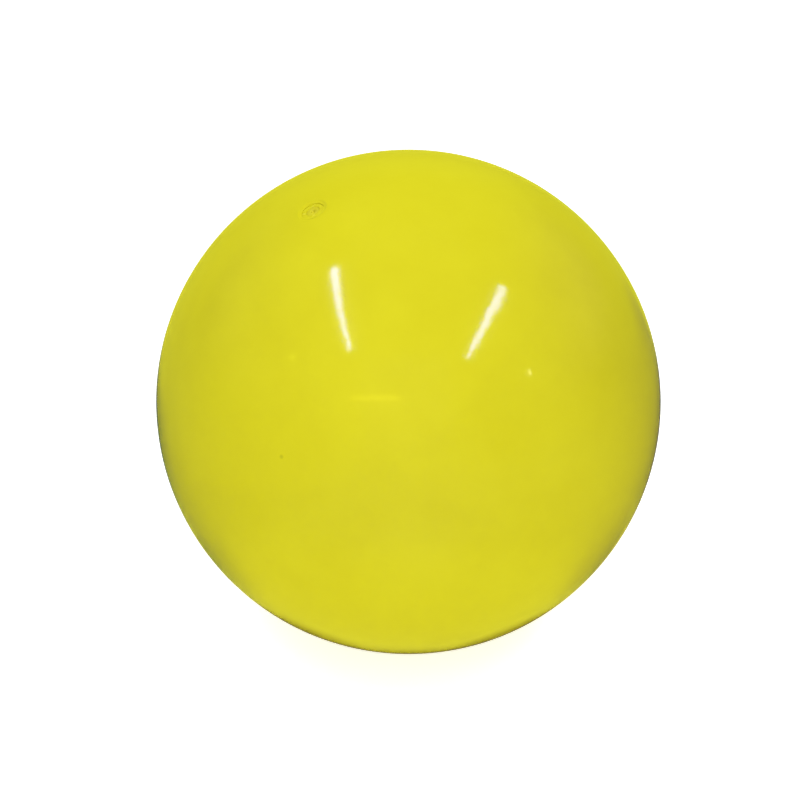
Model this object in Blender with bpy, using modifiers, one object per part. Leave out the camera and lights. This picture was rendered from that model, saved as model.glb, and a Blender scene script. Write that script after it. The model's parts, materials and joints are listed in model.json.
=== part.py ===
"""Playground rubber ball, 8.5 inch (216 mm), nylon-wound, with a self-sealing needle valve.

Metres, +Z up, origin at the middle of the ball. The valve is near the top and leans towards -X.
The underside carries the small flat that the ball's own weight presses into it.
Sizes below are in mm; MM turns them into metres.
"""
import math

import bmesh
import bpy
from mathutils import Matrix, Vector

MM = 0.001

# Shells: spherical outside radii and walls, nested with an even gap
SHELL_GAP = 0.30
BALL_R = 108.00
COVER_WALL = 1.40
WINDING_R = BALL_R - COVER_WALL - SHELL_GAP
WINDING_WALL = 0.50
BLADDER_R = WINDING_R - WINDING_WALL - SHELL_GAP
BLADDER_WALL = 0.85

# Flat under the ball: weight over pressure gives about 3 cm2
CONTACT_R = 10.0
CONTACT_ANGLE = math.asin(CONTACT_R / BALL_R)

# Facets: even rings from the top to the flat, so that one ring passes through the valve
SHELL_STEPS = 48
SHELL_RINGS = 22
RING_STEP = (math.pi - CONTACT_ANGLE) / SHELL_RINGS
VALVE_RING = 3                       # rings down from the top
VALVE_TILT = VALVE_RING * RING_STEP  # from +Z towards -X
VALVE_STEPS = 32
MERGE_DISTANCE = 0.01                # joins each turned surface's seam and poles

# Valve: heights run along its axis from the mouth, negative towards the middle of the ball
MOUTH_R = 107.20                     # from the middle of the ball to the mouth
AXIS_DISPLAY_SIZE = 20.0

# Hole through the three shells; its cutter overshoots them at both ends
HOLE_R = 4.80
HOLE_CUTTER_TOP = 3.0
HOLE_CUTTER_BOTTOM = -6.0

# Housing
NECK_R = 4.50
NECK_CHAMFER = 0.25
BORE_R = 2.90
BORE_CHAMFER = 0.20
BARREL_R = 5.80
BARREL_LEN = 16.4
BARREL_FLOOR = 1.5
BORE_LEN = BARREL_LEN - BARREL_FLOOR
EXIT_R = 1.50                        # hole through the barrel's floor
EXIT_CHAMFER = 0.25
FLANGE_R = 15.0
FLANGE_TOP_R = 104.00                # spherical radius of the flange's outer face

# Patch
PATCH_IN_R = 7.6
PATCH_OUT_R = 19.5

# Core
CORE_R = 2.60
CORE_WAIST_R = 2.30
CORE_FACE = -0.25
CORE_CHAMFER = 0.25
CORE_LEN = 14.0
NEEDLE_R = 0.60                      # passage for a pump needle
FUNNEL_R = 1.45

# Slit through the core's tip, up into the needle passage
SLIT_SIZE = (1.50, 0.26, 3.6)        # along the valve's X, Y and Z
SLIT_OVERSHOOT = 0.5                 # past the end of the tip


def clear_scene():
    for item in list(bpy.data.objects):
        bpy.data.objects.remove(item, do_unlink=True)
    for blocks in (bpy.data.meshes, bpy.data.materials, bpy.data.curves, bpy.data.collections):
        for item in list(blocks):
            blocks.remove(item)


def new_collection(name):
    coll = bpy.data.collections.new(name)
    bpy.context.scene.collection.children.link(coll)
    return coll


def new_material(name, colour, roughness, coat=0.0):
    mat = bpy.data.materials.new(name)
    mat.use_nodes = True
    shader = mat.node_tree.nodes["Principled BSDF"]
    shader.inputs["Base Color"].default_value = (*colour, 1.0)
    shader.inputs["Roughness"].default_value = roughness
    shader.inputs["Coat Weight"].default_value = coat
    mat.diffuse_color = (*colour, 1.0)
    return mat


def turned(name, profiles, steps, coll, mat=None, parent=None, closed=False):
    """Solid of revolution about its own Z from profiles of (radius, height) in mm.

    Open profiles start and end on the axis; closed ones are joined end to start.
    """
    mesh = bpy.data.meshes.new(name)
    outline = bmesh.new()
    for profile in profiles:
        points = [outline.verts.new((radius * MM, 0.0, z * MM)) for radius, z in profile]
        for start, end in zip(points, points[1:]):
            outline.edges.new((start, end))
        if closed:
            outline.edges.new((points[-1], points[0]))
    outline.to_mesh(mesh)
    outline.free()
    if mat is not None:
        mesh.materials.append(mat)

    piece = bpy.data.objects.new(name, mesh)
    coll.objects.link(piece)
    piece.parent = parent
    screw = piece.modifiers.new("turn", "SCREW")
    screw.axis = "Z"
    screw.angle = 2.0 * math.pi
    screw.steps = steps
    screw.render_steps = steps
    screw.use_merge_vertices = True
    screw.merge_threshold = MERGE_DISTANCE * MM
    screw.use_smooth_shade = True
    return piece


def make_cutter(piece):
    piece.hide_render = True
    piece.display_type = "WIRE"
    return piece


def cut(piece, cutter):
    boolean = piece.modifiers.new("cut_" + cutter.name, "BOOLEAN")
    boolean.operation = "DIFFERENCE"
    boolean.solver = "EXACT"
    boolean.object = cutter


def sphere_profile(sphere_r):
    """Meridian of one shell surface from its top pole down to the middle of its flat."""
    profile = [(0.0, sphere_r)]
    for i in range(1, SHELL_RINGS + 1):
        angle = math.pi - i * RING_STEP      # from straight down
        profile.append((sphere_r * math.sin(angle), -sphere_r * math.cos(angle)))
    profile.append((0.0, profile[-1][1]))
    return profile


def under_flange_top(radius, depth=0.0):
    """Profile point on the sphere that lies this deep under the flange's outer face."""
    sphere_r = FLANGE_TOP_R - depth
    return radius, math.sqrt(sphere_r * sphere_r - radius * radius) - MOUTH_R


def make_valve_axis(coll):
    """Empty at the valve's mouth, looking outwards along its own Z."""
    axis = bpy.data.objects.new("valve_axis", None)
    coll.objects.link(axis)
    outward = Vector((-math.sin(VALVE_TILT), 0.0, math.cos(VALVE_TILT)))
    axis.location = outward * (MOUTH_R * MM)
    axis.rotation_euler = (0.0, -VALVE_TILT, 0.0)
    axis.empty_display_size = AXIS_DISPLAY_SIZE * MM
    return axis


def make_hole_cutter(coll, axis):
    """Stepped cutter that opens the shells and sinks the dimple round the valve."""
    profile = [                              # (radius, height)
        (0.0, HOLE_CUTTER_TOP),
        (7.4, HOLE_CUTTER_TOP),
        (6.9, 0.95),
        (6.3, 0.46),
        (5.6, 0.20),
        (HOLE_R, 0.08),
        (HOLE_R, HOLE_CUTTER_BOTTOM),
        (0.0, HOLE_CUTTER_BOTTOM),
    ]
    return make_cutter(turned("valve_hole_cutter", [profile], VALVE_STEPS, coll, parent=axis))


def make_shell(name, outside_r, wall, coll, mat, hole):
    outer = sphere_profile(outside_r)
    inner = sphere_profile(outside_r - wall)[::-1]
    cut(turned(name, [outer, inner], SHELL_STEPS, coll, mat), hole)


def make_housing(coll, axis):
    """Neck through the shells, flange inside the bladder, barrel hanging inwards."""
    mat = new_material("yellow_valve_rubber", colour=(0.66, 0.60, 0.03), roughness=0.30, coat=0.2)
    neck_foot = under_flange_top(HOLE_R)
    neck = [                                 # (radius, height)
        (BORE_R + BORE_CHAMFER, 0.0),
        (NECK_R - NECK_CHAMFER, 0.0),
        (NECK_R, -NECK_CHAMFER),
        (NECK_R, neck_foot[1] + 0.35),
        neck_foot,
    ]
    # out along the flange's outer face, round its rim and back underneath to the barrel
    flange_stations = [                      # (radius, depth under the outer face)
        (8.0, 0.0),
        (11.5, 0.0),
        (FLANGE_R, 0.0),
        (FLANGE_R + 0.15, 0.20),
        (FLANGE_R - 0.10, 0.42),
        (11.0, 0.85),
        (8.0, 1.20),
        (6.7, 1.60),
        (6.1, 2.40),
    ]
    barrel = [                               # (radius, height)
        (BARREL_R, -8.0),
        (BARREL_R - 0.35, -BARREL_LEN + 1.6),
        (BARREL_R - 0.85, -BARREL_LEN + 0.45),
        (BARREL_R - 1.60, -BARREL_LEN),
        (EXIT_R + EXIT_CHAMFER, -BARREL_LEN),
        (EXIT_R, -BARREL_LEN + EXIT_CHAMFER),
        (EXIT_R, -BORE_LEN),
        (BORE_R, -BORE_LEN),
        (BORE_R, -BORE_CHAMFER),
    ]
    profile = neck + [under_flange_top(*station) for station in flange_stations] + barrel
    turned("valve_housing", [profile], VALVE_STEPS, coll, mat, axis, closed=True)


def make_patch(coll, axis):
    """Reinforcing ring: follows the flange's underside and steps outwards past its edge."""
    mat = new_material("black_patch_rubber", colour=(0.030, 0.030, 0.032), roughness=0.75)
    stations = [                             # (radius, depth under the flange's outer face)
        (PATCH_IN_R, 1.58),
        (11.0, 1.18),
        (14.9, 0.76),
        (15.7, 0.62),
        (16.9, 0.05),
        (PATCH_OUT_R - 0.4, 0.02),
        (PATCH_OUT_R, 0.28),
        (PATCH_OUT_R - 0.5, 0.56),
        (17.1, 0.66),
        (15.9, 1.24),
        (11.0, 1.80),
        (PATCH_IN_R + 0.2, 2.16),
        (PATCH_IN_R, 1.96),
    ]
    profile = [under_flange_top(*station) for station in stations]
    turned("valve_patch", [profile], VALVE_STEPS, coll, mat, axis, closed=True)


def make_slit_cutter(coll, axis):
    mesh = bpy.data.meshes.new("slit_cutter")
    size = Matrix.Diagonal((*(side * MM for side in SLIT_SIZE), 1.0))
    box = bmesh.new()
    bmesh.ops.create_cube(box, size=1.0, matrix=size)
    box.to_mesh(mesh)
    box.free()
    slit = make_cutter(bpy.data.objects.new("slit_cutter", mesh))
    coll.objects.link(slit)
    slit.parent = axis
    slit.location.z = (-CORE_LEN - SLIT_OVERSHOOT + SLIT_SIZE[2] / 2) * MM
    return slit


def make_core(coll, cutter_coll, axis):
    """Self-sealing core: funnel and needle passage inside, three ribs outside, slit tip."""
    mat = new_material("gum_rubber", colour=(0.58, 0.50, 0.06), roughness=0.42)
    profile = [                              # (radius, height)
        # needle passage, from its inner end out to the funnel
        (0.0, -11.6), (NEEDLE_R, -11.2), (NEEDLE_R, -2.3), (0.95, -1.1), (FUNNEL_R, CORE_FACE),
        # ribs and waists, from the face inwards
        (CORE_R - CORE_CHAMFER, CORE_FACE), (CORE_R, CORE_FACE - CORE_CHAMFER), (CORE_R, -2.0),
        (CORE_WAIST_R, -2.3), (CORE_WAIST_R, -4.4),
        (CORE_R, -4.8), (CORE_R, -5.9),
        (CORE_WAIST_R, -6.4), (CORE_WAIST_R, -8.2),
        (CORE_R, -8.6), (CORE_R, -9.7),
        (CORE_WAIST_R, -10.2), (CORE_WAIST_R, -11.2),
        # tip
        (1.45, -CORE_LEN + 0.35), (1.15, -CORE_LEN), (0.0, -CORE_LEN),
    ]
    core = turned("valve_core", [profile], VALVE_STEPS, coll, mat, axis)
    cut(core, make_slit_cutter(cutter_coll, axis))


clear_scene()
ball = new_collection("playground_ball")
cutters = new_collection("cutters")

yellow = new_material("yellow_gloss_rubber", colour=(0.78, 0.72, 0.02), roughness=0.16, coat=0.6)
nylon = new_material("nylon_thread", colour=(0.78, 0.75, 0.66), roughness=0.75)
butyl = new_material("black_butyl", colour=(0.018, 0.018, 0.020), roughness=0.55)

valve_axis = make_valve_axis(ball)
valve_hole = make_hole_cutter(cutters, valve_axis)

make_shell("outer_cover", BALL_R, COVER_WALL, ball, yellow, valve_hole)
make_shell("thread_winding", WINDING_R, WINDING_WALL, ball, nylon, valve_hole)
make_shell("bladder", BLADDER_R, BLADDER_WALL, ball, butyl, valve_hole)
make_housing(ball, valve_axis)
make_patch(ball, valve_axis)
make_core(ball, cutters, valve_axis)

bpy.context.view_layer.update()
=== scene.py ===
# A glossy yellow rubber ball resting on a pale floor, centred on the origin, +Z up.
# Layers from outside in: cover, thread winding, bladder. The valve body and its insert sit on
# the valve axis, which leans from +Z in the XZ plane. Section sizes are in mm, the rest in metres.
import json
import math

import bmesh
import bpy
import numpy as np
from mathutils import Matrix, Vector, noise


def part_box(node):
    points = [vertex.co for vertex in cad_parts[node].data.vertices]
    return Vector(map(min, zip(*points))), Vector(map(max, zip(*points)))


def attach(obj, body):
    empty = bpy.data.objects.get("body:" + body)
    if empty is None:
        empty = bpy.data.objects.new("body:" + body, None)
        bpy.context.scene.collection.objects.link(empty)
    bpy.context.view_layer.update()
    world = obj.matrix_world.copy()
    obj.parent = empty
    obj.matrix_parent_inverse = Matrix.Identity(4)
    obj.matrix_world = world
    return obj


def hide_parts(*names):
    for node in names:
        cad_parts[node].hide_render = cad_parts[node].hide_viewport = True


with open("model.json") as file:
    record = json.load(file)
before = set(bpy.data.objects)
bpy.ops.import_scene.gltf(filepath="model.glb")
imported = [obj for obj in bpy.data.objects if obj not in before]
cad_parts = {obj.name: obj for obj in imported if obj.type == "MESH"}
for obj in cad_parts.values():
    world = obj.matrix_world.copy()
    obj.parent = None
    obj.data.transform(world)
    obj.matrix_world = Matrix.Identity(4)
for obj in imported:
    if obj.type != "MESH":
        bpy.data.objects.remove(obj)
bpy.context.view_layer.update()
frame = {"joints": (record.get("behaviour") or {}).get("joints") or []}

MM = 0.001

# ------------------------------------------------------------------ driving sizes
cover_low, cover_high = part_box("outer_cover")
BALL_R = float(cover_high[2])           # metres; the top pole lies on the true sphere
FLOOR_Z = float(cover_low[2])
VALVE_AXIS = Vector(frame["joints"][0]["axis"]).normalized()
# local +Z is the valve axis, the origin is the ball's centre
VALVE_FRAME = Matrix.Rotation(math.atan2(VALVE_AXIS.x, VALVE_AXIS.z), 4, "Y")

# radii of the layers, mm
COVER_IN = 106.60
WIND_OUT, WIND_IN = 106.30, 105.80
BLADDER_OUT, BLADDER_IN = 105.50, 104.65
FLANGE_TOP = 104.00                     # sphere that the valve flange's outer face follows

# valve, mm: radii off its axis and heights along it
HOLE_R = 4.78                           # hole in the cover and the bladder
NECK_R = 4.74
BORE_R = 2.80
INSERT_R = 2.74
MOUTH = 107.20                          # height of the valve body's mouth
INSERT_FACE = 107.08                    # height of the insert's outer face
LIP = 107.44                            # height of the rounded edge of the cover's hole

# ------------------------------------------------------------------ view directions
# The camera stands on the -Y side, turned towards -X, and looks down at the ball.
# Left and right are as the camera sees them.
AZIMUTH, ELEVATION, DISTANCE = math.radians(-25.0), math.radians(27.78), 1.40
TOWARD = Vector((math.sin(AZIMUTH) * math.cos(ELEVATION),
                 -math.cos(AZIMUTH) * math.cos(ELEVATION),
                 math.sin(ELEVATION)))                          # from the ball to the camera
RIGHT = Vector((math.cos(AZIMUTH), math.sin(AZIMUTH), 0.0))
UP = TOWARD.cross(RIGHT)
NEAR = Vector((math.sin(AZIMUTH), -math.cos(AZIMUTH), 0.0))     # level, towards the camera
DOWN = Vector((0.0, 0.0, -1.0))


# ------------------------------------------------------------------ shape helpers
def add_object(name, data):
    ob = bpy.data.objects.new(name, data)
    bpy.context.scene.collection.objects.link(ob)
    return ob


def smooth(mesh):
    for face in mesh.polygons:
        face.use_smooth = True


def apply_modifiers(ob):
    """Replaces the mesh by its modified one, so later steps act on real vertices."""
    graph = bpy.context.evaluated_depsgraph_get()
    old, done = ob.data, bpy.data.meshes.new_from_object(ob.evaluated_get(graph))
    ob.modifiers.clear()
    ob.data = done
    done.name = ob.name
    bpy.data.meshes.remove(old)
    smooth(done)


def turned(name, profile, steps, closed=False):
    """A solid of revolution about the valve axis. profile rows are (radius, height) in mm."""
    edges = [(i, i + 1) for i in range(len(profile) - 1)]
    if closed:
        edges.append((len(profile) - 1, 0))
    mesh = bpy.data.meshes.new(name)
    mesh.from_pydata([(r * MM, 0.0, height * MM) for r, height in profile], edges, [])
    ob = add_object(name, mesh)
    screw = ob.modifiers.new("turn", "SCREW")
    screw.axis = "Z"
    screw.steps = steps
    screw.use_merge_vertices = True
    screw.merge_threshold = 1e-6
    screw.use_smooth_shade = True
    apply_modifiers(ob)
    ob.data.transform(VALVE_FRAME)
    return ob


def arc(centre_r, centre_h, radius, start, end, steps):
    """steps + 1 points on a circle, angles in degrees from +radius towards +height."""
    angles = [math.radians(start + (end - start) * i / steps) for i in range(steps + 1)]
    return [(centre_r + radius * math.cos(a), centre_h + radius * math.sin(a)) for a in angles]


def meridian(radius, hole, steps):
    """Points on a sphere from hole off the valve axis down to the far pole, even in angle."""
    start = math.asin(hole / radius)
    points = []
    for i in range(steps + 1):
        a = start + (math.pi - start) * i / steps
        points.append((radius * math.sin(a) if i < steps else 0.0, radius * math.cos(a)))
    return points


def on_sphere(sphere, r):
    """Height of the point of a sphere that is r off the axis."""
    return math.sqrt(sphere * sphere - r * r)


def on_spheres(rows):
    """Profile points from rows of (radius off the axis, radius of the sphere it lies on)."""
    return [(r, on_sphere(sphere, r)) for r, sphere in rows]


def move(ob, shape):
    """Moves every vertex of ob by shape(n x 3 array) -> array, in metres."""
    count = len(ob.data.vertices)
    co = np.empty(count * 3)
    ob.data.vertices.foreach_get("co", co)
    ob.data.vertices.foreach_set("co", shape(co.reshape(count, 3)).ravel())
    ob.data.update()


def press_flat(co, radius):
    """The ball's weight flattens the underside of the layer of this radius (mm)."""
    soft = 0.00012                      # length over which the sphere turns into the flat
    reach = 0.004                       # only points this near the flat are moved
    flat = FLOOR_Z + BALL_R - radius * MM
    z = co[:, 2]
    lifted = flat + soft * np.logaddexp(0.0, (z - flat) / soft)
    near = z < flat + reach
    co[near, 2] = lifted[near]
    return co


def press_wall(co, outer, outer_radius, inner_radius):
    """Flattens both faces of a hollow layer; outer marks the vertices of its outer face."""
    co[outer] = press_flat(co[outer], outer_radius)
    co[~outer] = press_flat(co[~outer], inner_radius)
    return co


def waves(co, size, seed):
    """Slow seeded height field, about -1 to 1."""
    shift = Vector((seed * 13.7, seed * -7.3, seed * 3.1))
    return np.array([noise.noise(Vector(p) / size + shift) for p in co])


# ------------------------------------------------------------------ shader helpers
class Graph:
    """A node tree; pos is the texture coordinate that its textures and vectors use."""

    def __init__(self, tree, space):
        self.tree = tree
        self.pos = self.add("ShaderNodeTexCoord").outputs[space]

    def add(self, kind, **properties):
        node = self.tree.nodes.new(kind)
        for key, value in properties.items():
            setattr(node, key, value)
        return node

    def put(self, socket, value):
        """Sets a socket to a number or colour, or links another socket to it."""
        if isinstance(value, (int, float)):
            socket.default_value = value
        elif isinstance(value, tuple):
            socket.default_value = (*value, 1.0)
        else:
            self.tree.links.new(value, socket)

    def texture(self, kind, output, inputs, **properties):
        node = self.add(kind, **properties)
        for key, value in inputs.items():
            node.inputs[key].default_value = value
        self.put(node.inputs["Vector"], self.pos)
        return node.outputs[output]

    def noise(self, scale, detail=3.0, rough=0.5):
        inputs = {"Scale": scale, "Detail": detail, "Roughness": rough}
        return self.texture("ShaderNodeTexNoise", "Fac", inputs)

    def ramp(self, fac, *stops):
        """Two stops, each (position, colour)."""
        node = self.add("ShaderNodeValToRGB")
        for element, (position, colour) in zip(node.color_ramp.elements, stops):
            element.position, element.color = position, (*colour, 1.0)
        self.put(node.inputs["Fac"], fac)
        return node.outputs["Color"]

    def map(self, value, span, to, how="LINEAR"):
        node = self.add("ShaderNodeMapRange", interpolation_type=how)
        for key, x in zip(("From Min", "From Max", "To Min", "To Max"), (*span, *to)):
            node.inputs[key].default_value = x
        self.put(node.inputs["Value"], value)
        return node.outputs["Result"]

    def step(self, value, span):
        """Smooth rise from 0 to 1 over span."""
        return self.map(value, span, to=(0.0, 1.0), how="SMOOTHSTEP")

    def math(self, op, *values):
        node = self.add("ShaderNodeMath", operation=op)
        for socket, value in zip(node.inputs, values):
            self.put(socket, value)
        return node.outputs["Value"]

    def vector_math(self, op, other=None):
        """pos, combined with a fixed vector where the operation takes one."""
        node = self.add("ShaderNodeVectorMath", operation=op)
        self.put(node.inputs[0], self.pos)
        if other is not None:
            node.inputs[1].default_value = other
        return node.outputs["Value"]

    def dot(self, direction):
        return self.vector_math("DOT_PRODUCT", direction)

    def mix(self, fac, a, b):
        node = self.add("ShaderNodeMix", data_type="RGBA")
        for index, value in ((0, fac), (6, a), (7, b)):
            self.put(node.inputs[index], value)
        return node.outputs[2]

    def bump(self, height, distance, strength, normal=None):
        node = self.add("ShaderNodeBump")
        node.inputs["Strength"].default_value = strength
        node.inputs["Distance"].default_value = distance
        self.put(node.inputs["Height"], height)
        if normal is not None:
            self.put(node.inputs["Normal"], normal)
        return node.outputs["Normal"]


class Material(Graph):
    SOCKETS = {"colour": "Base Color", "roughness": "Roughness", "normal": "Normal",
               "specular": "Specular IOR Level", "sheen": "Sheen Weight", "ior": "IOR",
               "glow": "Emission Color", "glow_strength": "Emission Strength"}

    def __init__(self, name):
        self.mat = bpy.data.materials.new(name)
        self.mat.use_nodes = True
        super().__init__(self.mat.node_tree, "Object")

    def set(self, **values):
        bsdf = self.tree.nodes["Principled BSDF"]
        for key, value in values.items():
            self.put(bsdf.inputs[self.SOCKETS[key]], value)
        return self.mat


# ------------------------------------------------------------------ materials
def cover_rubber():
    """Glossy lemon yellow: faint cloudiness, slightly uneven shine and a few dust specks."""
    m = Material("cover_gloss_rubber")
    cloud = m.noise(scale=26.0, detail=4.0, rough=0.55)
    body = m.ramp(cloud, (0.35, (0.716, 0.653, 0.0138)), (0.68, (0.743, 0.684, 0.0160)))
    grain = m.noise(scale=900.0, detail=2.0, rough=0.6)
    body = m.mix(m.map(grain, span=(0.35, 0.75), to=(0.0, 0.06)), body, (0.68, 0.61, 0.013))

    # dust: small dots, kept only where a slower noise is high
    cells = m.texture("ShaderNodeTexVoronoi", "Distance", {"Scale": 62.0})
    speck = m.map(cells, span=(0.012, 0.028), to=(1.0, 0.0))
    rare = m.map(m.noise(scale=21.0, detail=1.0), span=(0.66, 0.70), to=(0.0, 1.0))
    speck = m.math("MULTIPLY", speck, rare)
    body = m.mix(m.math("MULTIPLY", speck, 0.45), body, (0.46, 0.38, 0.03))

    # one dark fleck, lower left
    from_fleck = m.vector_math("DISTANCE", Vector((-0.0851, -0.0621, 0.0237)))
    fleck = m.map(from_fleck, span=(0.0003, 0.0013), to=(0.55, 0.0), how="SMOOTHSTEP")
    body = m.mix(fleck, body, (0.46, 0.42, 0.010))

    shine = m.map(m.noise(scale=34.0), span=(0.3, 0.7), to=(0.066, 0.090))
    shine = m.math("ADD", shine, m.math("MULTIPLY", speck, 0.25))
    skin = m.bump(m.noise(scale=190.0, detail=1.0), distance=0.000022, strength=0.6)
    skin = m.bump(m.noise(scale=430.0, detail=2.0, rough=0.6), distance=0.000026, strength=1.0,
                  normal=skin)
    skin = m.bump(m.noise(scale=1500.0, detail=2.0), distance=0.000003, strength=0.35,
                  normal=skin)
    return m.set(colour=body, roughness=shine, normal=skin, specular=0.5, ior=1.50)


def valve_rubber(name, light, dark, gloss):
    """Moulded rubber, duller than the cover, with fine grain; gloss is the least roughness."""
    m = Material(name)
    cloud = m.noise(scale=240.0, rough=0.6)
    body = m.ramp(cloud, (0.3, dark), (0.7, light))
    grain = m.bump(m.noise(scale=1400.0, rough=0.6), distance=0.00003, strength=0.5)
    rough = m.map(cloud, span=(0.3, 0.7), to=(gloss, gloss + 0.12))
    return m.set(colour=body, roughness=rough, normal=grain, specular=0.4)


def butyl():
    """Black butyl sheet with talc left on it in soft patches."""
    m = Material("bladder_black_butyl")
    talc = m.noise(scale=38.0, detail=5.0, rough=0.62)
    body = m.ramp(talc, (0.42, (0.016, 0.016, 0.018)), (0.78, (0.075, 0.074, 0.070)))
    skin = m.bump(m.noise(scale=700.0, rough=0.55), distance=0.00005, strength=0.6)
    rough = m.map(talc, span=(0.4, 0.8), to=(0.42, 0.80))
    return m.set(colour=body, roughness=rough, normal=skin, specular=0.4)


def patch_rubber():
    """Matt black rubber with the imprint of a fabric weave."""
    m = Material("valve_patch_rubber")
    bands = [m.texture("ShaderNodeTexWave", "Fac", {"Scale": 420.0, "Distortion": 0.6},
                       wave_type="BANDS", bands_direction=direction) for direction in "XY"]
    weave = m.math("MULTIPLY", *bands)
    body = m.ramp(weave, (0.0, (0.018, 0.018, 0.019)), (1.0, (0.046, 0.045, 0.044)))
    imprint = m.bump(weave, distance=0.00008, strength=0.7)
    return m.set(colour=body, roughness=0.78, normal=imprint, specular=0.3)


def thread():
    """Off-white nylon thread: fine filaments and amber staining."""
    m = Material("winding_nylon_thread")
    stain = m.noise(scale=48.0, detail=4.0, rough=0.6)
    body = m.ramp(stain, (0.35, (0.70, 0.66, 0.55)), (0.72, (0.80, 0.78, 0.70)))
    fibre = m.noise(scale=3200.0, detail=2.0, rough=0.7)
    body = m.mix(m.map(fibre, span=(0.3, 0.7), to=(0.0, 0.35)), body, (0.55, 0.50, 0.38))
    fuzz = m.bump(fibre, distance=0.00004, strength=0.6)
    return m.set(colour=body, roughness=0.62, normal=fuzz, sheen=0.2, specular=0.4)


def give(ob, mat, body, node):
    ob.data.materials.clear()
    ob.data.materials.append(mat)
    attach(ob, body)
    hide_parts(node)


# ------------------------------------------------------------------ cover, with its valve dish
def skin_shape(co):
    """Slow waviness on the outer face, fading out at the valve, then the flat underneath."""
    wave_r = 0.108                      # radius at which the height fields are sampled
    quiet, fade = 0.008, 0.012          # still zone round the valve axis, then the fade's width
    r = np.linalg.norm(co, axis=1)
    unit = co / r[:, None]
    outer = r > (COVER_IN + 0.5) * MM
    valve = np.array(VALVE_AXIS)
    off_axis = np.linalg.norm(np.cross(unit, valve) * r[:, None], axis=1)
    away = np.clip((off_axis - quiet) / fade, 0.0, 1.0)
    away = np.where(unit @ valve > 0, away, 1.0)
    sway = 0.000055 * waves(unit * wave_r, size=0.050, seed=1)
    sway = sway + 0.000016 * waves(unit * wave_r, size=0.017, seed=2)
    co = co + unit * (sway * away * outer)[:, None]
    return press_wall(co, outer, BALL_R / MM, COVER_IN)


def build_cover():
    edge = 0.09                         # rounding of the hole's edge
    inner_hole = HOLE_R + 0.25
    profile = meridian(COVER_IN, inner_hole, 40)[::-1]
    profile += [(HOLE_R + 0.03, on_sphere(COVER_IN, inner_hole) + 0.04)]
    profile += [(HOLE_R, 106.75), (HOLE_R, 107.10)]
    profile += arc(HOLE_R + edge, LIP - edge, edge, 180, 90, 4)
    # dish round the hole, rising to the ball's surface: (radius, height)
    profile += [(5.10, 107.445), (5.35, 107.470), (5.62, 107.530), (5.90, 107.625),
                (6.18, 107.715), (6.45, 107.775), (6.75, 107.785)]
    profile += meridian(BALL_R / MM, 7.1, 190)
    skin = turned("skin", profile, 240)
    move(skin, skin_shape)
    give(skin, cover_rubber(), "ball", "outer_cover")


# ------------------------------------------------------------------ valve body
def build_valve_body():
    mouth_edge, neck_edge = 0.10, 0.12  # roundings inside and outside the mouth
    root = on_sphere(FLANGE_TOP, 4.8)   # height at which the neck meets the flange
    profile = arc(BORE_R + mouth_edge, MOUTH - mouth_edge, mouth_edge, 180, 90, 4)
    profile += [(3.4, MOUTH + 0.03), (3.9, MOUTH + 0.03)]
    profile += arc(NECK_R - neck_edge, MOUTH - neck_edge, neck_edge, 90, 0, 4)
    profile += [(NECK_R - 0.05, 106.0), (NECK_R - 0.15, root + 0.55)]
    profile += arc(NECK_R + 0.35, root + 0.50, 0.50, 180, 265, 5)
    # flange: outer face, rim, then an inner face that thickens towards the barrel
    profile += on_spheres((r, FLANGE_TOP) for r in (6.0, 7.5, 9.0, 10.5, 12.0, 13.5, 14.6))
    profile += on_spheres([(15.0, FLANGE_TOP - 0.03), (15.13, FLANGE_TOP - 0.20),
                           (14.98, FLANGE_TOP - 0.38)])
    profile += on_spheres((r, FLANGE_TOP - 0.40 - 0.115 * (14.9 - r))
                          for r in (14.5, 13.0, 11.5, 10.0, 8.6))
    profile += on_spheres([(7.6, 102.68), (6.9, 102.34), (6.35, 101.80), (6.05, 101.05)])
    # barrel: outside, rounded inner end with a small opening, and back up the bore
    profile += [(5.9, 100.0), (5.8, 98.6), (5.68, 96.0), (5.5, 93.2)]
    profile += arc(4.2, 92.0, 1.22, 10, -90, 8)
    profile += [(3.0, 90.78), (1.85, 90.78)]
    profile += arc(1.80, 91.0, 0.24, -90, -180, 4)
    profile += [(1.55, 92.2), (1.9, 92.42), (2.6, 92.42), (BORE_R, 92.7), (BORE_R, 99.0),
                (BORE_R, 106.2)]
    housing = turned("valve_body", profile, 128, closed=True)
    rubber = valve_rubber("valve_body_rubber", light=(0.722, 0.662, 0.0150),
                          dark=(0.690, 0.627, 0.0155), gloss=0.18)
    give(housing, rubber, "ball", "valve_housing")


# ------------------------------------------------------------------ insert that seals the ball
# (radius, height): closed foot of the narrow channel, up to its flared mouth
INSERT_CHANNEL = [
    (0.0, 95.85), (0.22, 96.0), (0.26, 97.5), (0.28, 104.6), (0.34, 105.5), (0.48, 106.2),
    (0.68, 106.65), (0.88, 106.93), (1.08, 107.05),
]
# (radius, height): outside, down over the ribs to the inner tip
INSERT_SIDE = [
    (2.68, 105.5), (2.62, 105.15), (2.45, 104.95), (2.33, 104.7), (2.30, 103.9), (2.30, 103.1),
    (2.36, 102.75), (2.52, 102.5), (2.64, 102.3), (2.66, 102.0), (2.66, 101.5), (2.60, 101.15),
    (2.42, 100.9), (2.32, 100.6), (2.30, 99.9), (2.30, 99.2), (2.38, 98.9), (2.56, 98.7),
    (2.65, 98.45), (2.66, 98.0), (2.63, 97.6), (2.46, 97.25), (2.33, 96.95), (2.30, 96.3),
    (2.20, 95.7), (1.95, 95.0), (1.62, 94.1), (1.42, 93.6), (1.28, 93.33), (1.05, 93.22),
    (0.6, 93.20), (0.0, 93.20),
]
SLIT_SIZE = (0.0015, 0.00014, 0.0034)   # metres, along the valve frame's axes
SLIT_HEIGHT = 0.0946                    # metres, its middle along the valve axis


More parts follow.
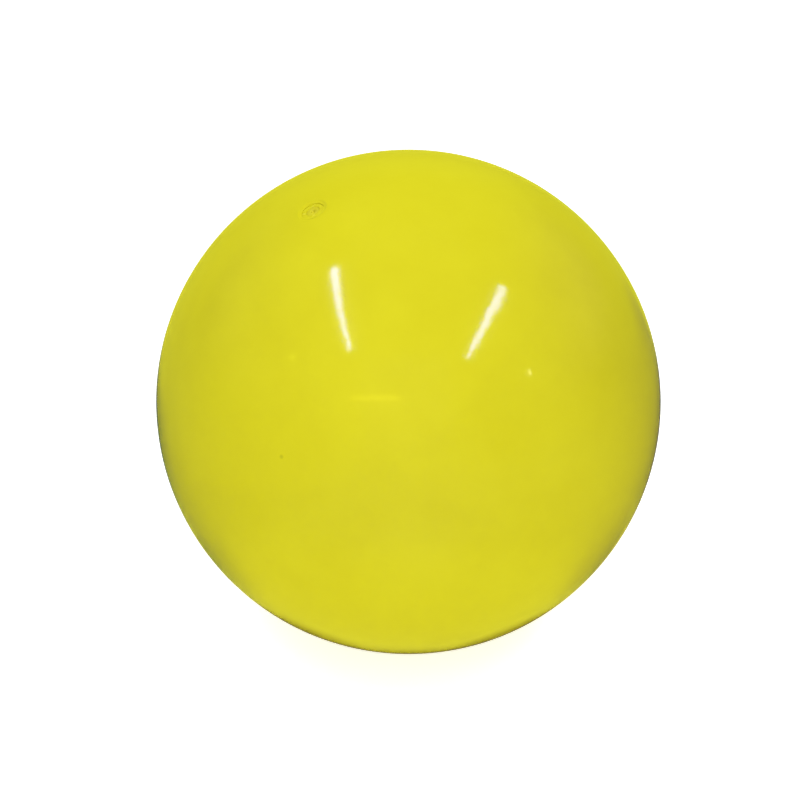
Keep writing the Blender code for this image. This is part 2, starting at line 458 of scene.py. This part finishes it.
def build_insert():
    edge = 0.12                         # rounding of the face's rim
    profile = INSERT_CHANNEL + [(1.30, INSERT_FACE), (1.9, INSERT_FACE + 0.012)]
    profile += arc(INSERT_R - edge, INSERT_FACE - edge, edge, 90, 0, 4)
    profile += [(INSERT_R, 106.1)] + INSERT_SIDE
    core = turned("valve_insert", profile, 112)

    slit_mesh = bpy.data.meshes.new("slit")
    place_slit = Matrix.Translation((0, 0, SLIT_HEIGHT)) @ Matrix.Diagonal((*SLIT_SIZE, 1.0))
    bm = bmesh.new()
    bmesh.ops.create_cube(bm, size=1.0, matrix=VALVE_FRAME @ place_slit)
    bm.to_mesh(slit_mesh)
    bm.free()
    slit = add_object("slit", slit_mesh)
    cut = core.modifiers.new("slit", "BOOLEAN")
    cut.object, cut.operation, cut.solver = slit, "DIFFERENCE", "EXACT"
    apply_modifiers(core)
    bpy.data.objects.remove(slit, do_unlink=True)
    core.data.set_sharp_from_angle(angle=math.radians(50))
    rubber = valve_rubber("valve_insert_rubber", light=(0.704, 0.634, 0.0175),
                          dark=(0.658, 0.586, 0.0185), gloss=0.30)
    give(core, rubber, "valve_core", "valve_core")


# ------------------------------------------------------------------ bladder
def bladder_shape(co):
    outer = np.linalg.norm(co, axis=1) > 0.5 * (BLADDER_IN + BLADDER_OUT) * MM
    return press_wall(co, outer, BLADDER_OUT, BLADDER_IN)


def build_bladder():
    profile = meridian(BLADDER_IN, HOLE_R, 60)[::-1] + meridian(BLADDER_OUT, HOLE_R, 90)
    bladder = turned("bladder_skin", profile, 144)
    move(bladder, bladder_shape)
    give(bladder, butyl(), "ball", "bladder")


# ------------------------------------------------------------------ ring patch round the valve
# (radius off the axis, radius of the sphere it lies on): out along the outer face, stepping up
# past the flange's rim, then back along the inner face
PATCH = [
    (7.75, 102.40), (8.4, 102.52), (11.0, 102.83), (13.5, 103.12), (14.9, 103.26),
    (15.6, 103.36), (16.2, 103.62), (16.8, 103.90), (17.4, 103.99), (19.1, 103.99),
    (19.42, 103.88), (19.5, 103.72), (19.3, 103.54), (18.9, 103.45), (17.4, 103.38),
    (16.7, 103.14), (15.9, 102.80), (13.5, 102.52), (11.0, 102.22), (8.2, 101.86),
    (7.75, 101.90), (7.60, 102.10),
]


def build_patch():
    patch = turned("valve_ring_patch", on_spheres(PATCH), 144, closed=True)
    give(patch, patch_rubber(), "ball", "valve_patch")


# ------------------------------------------------------------------ thread winding
TURNS, AROUND, SIDES = 96, 150, 6       # turns of yarn, stations on each, sides of its section
YARN_HALF_W, YARN_HALF_T = 0.62, 0.11   # mm, flat oval section
YARN_MARGIN = 0.13                      # mm, from the winding's faces to the yarn's middle
VALVE_CLEAR = 0.056                     # least sine of the angle from a turn to the valve axis


def turn_normals():
    """Axes of the great-circle turns, spread by the golden angle, all clear of the valve."""
    golden = math.pi * (3.0 - math.sqrt(5.0))
    valve = np.array(VALVE_AXIS)
    normals = []
    for i in range(2 * TURNS):
        z = 1.0 - (i + 0.5) / (2 * TURNS)
        level = math.sqrt(1 - z * z)
        normal = np.array([level * math.cos(golden * i), level * math.sin(golden * i), z])
        if i % 2:
            normal = -normal
        if abs(normal @ valve) >= VALVE_CLEAR:
            normals.append(normal)
    return normals[:TURNS]


def build_winding():
    verts, faces = [], []
    depth = WIND_OUT - WIND_IN - 2 * YARN_MARGIN
    for turn, normal in enumerate(turn_normals()):
        u = np.cross(normal, [0.31, 0.77, 0.55])    # any direction not along the normal
        u /= np.linalg.norm(u)
        v = np.cross(normal, u)
        radius = WIND_IN + YARN_MARGIN + depth * turn / (TURNS - 1)
        base = len(verts)
        for k in range(AROUND):
            t = 2 * math.pi * k / AROUND
            out = math.cos(t) * u + math.sin(t) * v
            here, ahead = base + k * SIDES, base + (k + 1) % AROUND * SIDES
            for s in range(SIDES):
                b = 2 * math.pi * s / SIDES
                point = out * (radius + YARN_HALF_T * math.sin(b))
                verts.append((point + normal * (YARN_HALF_W * math.cos(b))) * MM)
                s2 = (s + 1) % SIDES
                faces.append((here + s, here + s2, ahead + s2, ahead + s))
    verts = press_flat(np.array(verts), 0.5 * (WIND_IN + WIND_OUT))
    mesh = bpy.data.meshes.new("yarn_winding")
    mesh.from_pydata(verts.tolist(), [], faces)
    mesh.update()
    bm = bmesh.new()
    bm.from_mesh(mesh)
    bmesh.ops.recalc_face_normals(bm, faces=bm.faces)
    bm.to_mesh(mesh)
    bm.free()
    smooth(mesh)
    winding = add_object("yarn_winding", mesh)
    give(winding, thread(), "ball", "thread_winding")


# ------------------------------------------------------------------ camera
BALL_IMAGE_R = 11.358                   # mm, the ball's radius on the 36 mm wide sensor


def build_camera():
    data = bpy.data.cameras.new("camera")
    camera = add_object("camera", data)
    camera.location = TOWARD * DISTANCE
    camera.rotation_euler = Matrix((RIGHT, UP, TOWARD)).transposed().to_euler()
    data.sensor_width = 36.0
    data.lens = BALL_IMAGE_R / math.tan(math.asin(BALL_R / DISTANCE))
    data.shift_x, data.shift_y = -0.0105, 0.00225
    data.clip_start, data.clip_end = 0.01, 60.0
    bpy.context.scene.camera = camera


# ------------------------------------------------------------------ surroundings
# Reflections see a painted room and floor, with yellow under and behind the ball;
# diffuse and camera rays see plain white ones.
WHITE = (1.0, 1.0, 1.0)
ROOM_FRONT = (0.100, 0.100, 0.105)
ROOM_BEHIND = (0.813, 0.860, 0.049)
ROOM_LEFT = (0.170, 0.215, 0.145)
ROOM_RIGHT = (0.426, 0.347, 0.244)
# painted contact shadow on the floor, seen only in reflections
FLOOR_CONTACT_SHADOW = (0.120, 0.085, 0.030)
# painted yellow bounce light under the ball, seen only in reflections
FLOOR_UNDER_BOUNCE_LIGHT = (0.780, 0.750, 0.080)
# painted reflection colours of the floor behind and round the ball, seen only in reflections
FLOOR_BEHIND_REFLECTION = (0.740, 0.732, 0.045)
FLOOR_LEFT_REFLECTION = (0.000, 0.062, 0.085)
FLOOR_RIGHT_REFLECTION = (0.038, 0.036, 0.085)
FLOOR_FRONT_REFLECTION = (0.080, 0.094, 0.209)
FLOOR_GLOW = 0.124                      # floor's emission for rays that are not reflections
FLOOR_LIFT = 0.60                       # more emission where the camera sees it directly
BACKDROP = 1.0                          # brightness behind the floor, to the camera
ROOM_SOFT = 0.182                       # the room's own diffuse light
SIDE_SPAN, BEHIND_SPAN = (0.1, 0.8), (0.35, 0.97)   # bearing cosines of the floor's colour fades


def floor_side_reflections(graph, bearing):
    """Painted reflection colour of the floor in front, to the left and to the right of the ball.
    """
    image = graph.mix(graph.step(bearing(-RIGHT), SIDE_SPAN), FLOOR_FRONT_REFLECTION, FLOOR_LEFT_REFLECTION)
    return graph.mix(graph.step(bearing(RIGHT), SIDE_SPAN), image, FLOOR_RIGHT_REFLECTION)


def floor_material():
    m = Material("pale_floor")
    rays = m.add("ShaderNodeLightPath").outputs
    shine_ray, camera_ray = rays["Is Glossy Ray"], rays["Is Camera Ray"]
    tone = m.ramp(m.noise(scale=5.0), (0.3, (0.915,) * 3), (0.7, (0.935,) * 3))
    reach = m.vector_math("LENGTH")     # distance from under the ball's centre

    def bearing(direction):
        """Cosine of the angle from a level direction."""
        return m.math("DIVIDE", m.dot(direction), m.math("MAXIMUM", reach, 0.01))

    # painted reflection: sides, then the painted yellow reflection behind, less a darker part to
    # its right
    image = floor_side_reflections(m, bearing)
    behind = m.math("MULTIPLY", m.step(bearing(-NEAR), BEHIND_SPAN),
                    m.step(reach, span=(0.26, 0.38)))
    corner = m.math("MULTIPLY", m.step(bearing(RIGHT), span=(0.46, 0.60)),
                    m.map(reach, span=(0.55, 1.30), to=(0.70, 0.0), how="SMOOTHSTEP"))
    behind = m.math("MULTIPLY", behind, m.math("SUBTRACT", 1.0, corner))
    image = m.mix(behind, image, FLOOR_BEHIND_REFLECTION)

    # painted yellow bounce light from the ball on the floor under it, seen only in reflections; it
    # reaches further out in front than elsewhere
    aside = m.math("ABSOLUTE", bearing(RIGHT))
    flank = m.math("MULTIPLY", m.step(reach, span=(0.055, 0.124)),
                   m.step(aside, span=(0.85, 1.0)))
    flank = m.math("MAXIMUM", m.step(reach, span=(0.07, 0.20)), flank)
    ahead = m.step(bearing(NEAR), span=(0.2, 0.7))
    beyond = m.math("ADD", m.math("MULTIPLY", flank, m.math("SUBTRACT", 1.0, ahead)),
                    m.math("MULTIPLY", ahead, m.step(reach, span=(0.12, 0.30))))
    image = m.mix(beyond, FLOOR_UNDER_BOUNCE_LIGHT, image)

    # painted contact shadow under the ball, seen only in reflections, wider to the left and right
    widen = m.math("MULTIPLY", m.step(aside, span=(0.3, 0.95)), 0.02)
    close = m.math("SUBTRACT", reach, widen)
    image = m.mix(m.step(close, span=(0.040, 0.060)), FLOOR_CONTACT_SHADOW, image)

    # to the camera, the far floor fades into the backdrop
    far = m.math("MULTIPLY", m.step(reach, span=(0.9, 2.6)), camera_ray)
    colour = m.mix(m.math("MAXIMUM", shine_ray, far), tone, (0.0, 0.0, 0.0))
    glow = m.math("ADD", m.math("MULTIPLY", shine_ray, 1.0 - FLOOR_GLOW), FLOOR_GLOW)
    glow = m.math("ADD", glow, m.math("MULTIPLY", camera_ray, FLOOR_LIFT))
    glow = m.math("ADD", m.math("MULTIPLY", glow, m.math("SUBTRACT", 1.0, far)),
                  m.math("MULTIPLY", far, BACKDROP))
    # reflections see the floor glowing with this painted reflection image; other rays see the pale
    # floor
    return m.set(colour=colour, roughness=0.9, specular=0.0,
                 glow=m.mix(shine_ray, WHITE, image), glow_strength=glow)


def build_floor():
    mesh = bpy.data.meshes.new("floor")
    bm = bmesh.new()
    bmesh.ops.create_circle(bm, cap_ends=True, segments=96, radius=9.0)
    bm.to_mesh(mesh)
    bm.free()
    floor = add_object("floor", mesh)
    floor.location = (0.0, 0.0, FLOOR_Z - 0.00005)
    mesh.materials.append(floor_material())


def build_world():
    world = bpy.data.worlds.new("studio")
    bpy.context.scene.world = world
    world.use_nodes = True
    world.node_tree.nodes.clear()
    w = Graph(world.node_tree, "Generated")
    rays = w.add("ShaderNodeLightPath").outputs
    glossy, camera_ray = rays["Is Glossy Ray"], rays["Is Camera Ray"]

    side_span = (0.25, 0.95)
    room = w.mix(w.step(w.dot(-RIGHT), side_span), ROOM_BEHIND, ROOM_LEFT)
    room = w.mix(w.step(w.dot(RIGHT), side_span), room, ROOM_RIGHT)
    room = w.mix(w.step(w.dot(TOWARD), span=(-0.2, 0.6)), room, ROOM_FRONT)

    # near and below the horizon the room takes the floor's colours
    rise = w.dot((0.0, 0.0, 1.0))
    level = w.math("SUBTRACT", 1.0, w.math("MULTIPLY", rise, rise))
    level = w.math("SQRT", w.math("MAXIMUM", level, 0.0001))

    def bearing(direction):
        return w.math("DIVIDE", w.dot(direction), level)

    low = floor_side_reflections(w, bearing)
    low = w.mix(w.step(bearing(-NEAR), BEHIND_SPAN), low, FLOOR_BEHIND_REFLECTION)
    room = w.mix(w.step(rise, span=(0.0, 0.35)), low, room)

    strength = w.math("ADD", ROOM_SOFT, w.math("MULTIPLY", glossy, 1.0 - ROOM_SOFT))
    strength = w.math("ADD", strength, w.math("MULTIPLY", camera_ray, BACKDROP - ROOM_SOFT))
    back = w.add("ShaderNodeBackground")
    w.put(back.inputs["Color"], w.mix(glossy, WHITE, room))
    w.put(back.inputs["Strength"], strength)
    w.put(w.add("ShaderNodeOutputWorld").inputs[0], back.outputs[0])


# ------------------------------------------------------------------ lights
def lamp(name, at, aim, size, radiance, colour=WHITE, along=(0, 0, 1), diffuse=True,
         glossy=True):
    """An area light facing aim, its second size along along. Never seen by the camera."""
    data = bpy.data.lights.new(name, "AREA")
    data.shape = "RECTANGLE"
    data.size, data.size_y = size
    data.energy = radiance * math.pi * size[0] * size[1]
    data.color = colour
    data.spread = math.pi
    ob = add_object(name, data)
    z = (at - aim).normalized()
    y = Vector(along)
    y = (y - z * y.dot(z)).normalized()
    x = y.cross(z)
    ob.matrix_world = Matrix.Translation(at) @ Matrix((x, y, z)).transposed().to_4x4()
    ob.visible_camera = False
    ob.visible_diffuse = diffuse
    ob.visible_glossy = glossy


def place(right, near, height):
    return RIGHT * right + NEAR * near + Vector((0.0, 0.0, height))


TUBE_HEIGHT = 1.2
TUBE_TINT = (0.36, 0.37, 1.0)           # colour of the tubes' reflections
SOFT_WIDTH = 0.27                       # of the unreflected light of a whole row
# faint reflected glow round a row
GLOW_TINT, GLOW_RADIANCE = (1.0, 0.98, 0.03), 1.2
GLOW_WIDTH, GLOW_EXTRA, GLOW_DROP = 0.135, 0.05, 0.01

# runs of each row: (right, near) at its start, the same at its end, width
LEFT_RUNS = [
    ((-0.613, -0.098), (-0.633, 0.170), 0.079),
    ((-0.635, 0.170), (-0.651, 0.380), 0.061),
    ((-0.651, 0.380), (-0.659, 0.540), 0.051),
    ((-0.659, 0.540), (-0.669, 0.730), 0.064),
    ((-0.670, 0.730), (-0.692, 0.950), 0.048),
]
RIGHT_RUNS = [
    ((0.866, 0.020), (0.858, 0.130), 0.104),
    ((0.858, 0.130), (0.838, 0.312), 0.112),
    ((0.822, 0.316), (0.797, 0.560), 0.098),
    ((0.797, 0.560), (0.760, 0.880), 0.085),
    ((0.760, 0.880), (0.752, 1.090), 0.058),
]
# lamps seen only as reflections: name, start and end as (toward, right, up), width,
# radiance, colour
BARS = [
    ("far_bar", (1.43, -0.655, 0.044), (1.56, -0.080, 0.044), 0.033, 4.7, (1.0, 0.86, 0.03)),
    ("speck_right", (0.890, 1.238, 0.280), (0.890, 1.238, 0.316), 0.045, 12.5,
     (1.0, 0.90, 0.45)),
    ("speck_left", (0.895, -1.198, 0.436), (0.895, -1.198, 0.472), 0.070, 6.2,
     (1.0, 0.98, 0.05)),
]


def tubes(name, runs, radiance, soft, tint):
    """A row of ceiling tubes: a reflection for each run, one soft light, and a faint glow."""
    runs = [(place(*a, TUBE_HEIGHT), place(*b, TUBE_HEIGHT), width) for a, b, width in runs]
    for i, (start, end, width) in enumerate(runs):
        mid, along = (start + end) / 2, end - start
        lamp(f"{name}_image_{i}", mid, mid + DOWN, (width, along.length), radiance, TUBE_TINT,
             along, diffuse=False)
    start, end = runs[0][0], runs[-1][1]
    mid, along = (start + end) / 2, end - start
    lamp(name + "_light", mid, mid + DOWN, (SOFT_WIDTH, along.length), soft, tint, along,
         glossy=False)
    low = mid + DOWN * GLOW_DROP
    lamp(name + "_glow", low, low + DOWN, (GLOW_WIDTH, along.length + GLOW_EXTRA),
         GLOW_RADIANCE, GLOW_TINT, along, diffuse=False)


def build_reflected_lights():
    tubes("tubes_left", LEFT_RUNS, radiance=18.0, soft=9.12, tint=(0.975, 1.0, 1.0))
    tubes("tubes_right", RIGHT_RUNS, radiance=15.8, soft=7.75, tint=WHITE)
    for name, start, end, width, radiance, colour in BARS:
        start, end = (TOWARD * p[0] + RIGHT * p[1] + UP * p[2] for p in (start, end))
        along = end - start
        lamp(name, (start + end) / 2, Vector((0, 0, 0)), (width, along.length), radiance,
             colour, along, diffuse=False)


def build_fill_lights():
    for name, at, size, radiance in (
        ("front_fill", TOWARD * 2.2, (1.6, 1.6), 2.17),
        ("back_soft", place(0.0, -0.9, 1.7), (1.4, 1.4), 1.47),
        ("back_low", place(0.0, -2.0, 0.55), (1.2, 1.0), 1.60),
    ):
        lamp(name, at, Vector((0, 0, 0)), size, radiance, glossy=False)


# ------------------------------------------------------------------ build
build_cover()
build_valve_body()
build_insert()
build_bladder()
build_patch()
build_winding()
build_camera()
build_floor()
build_reflected_lights()
build_world()
build_fill_lights()

view = bpy.context.scene.view_settings
view.view_transform = "Standard"
view.look = "None"
view.exposure = 0.0
view.gamma = 1.0
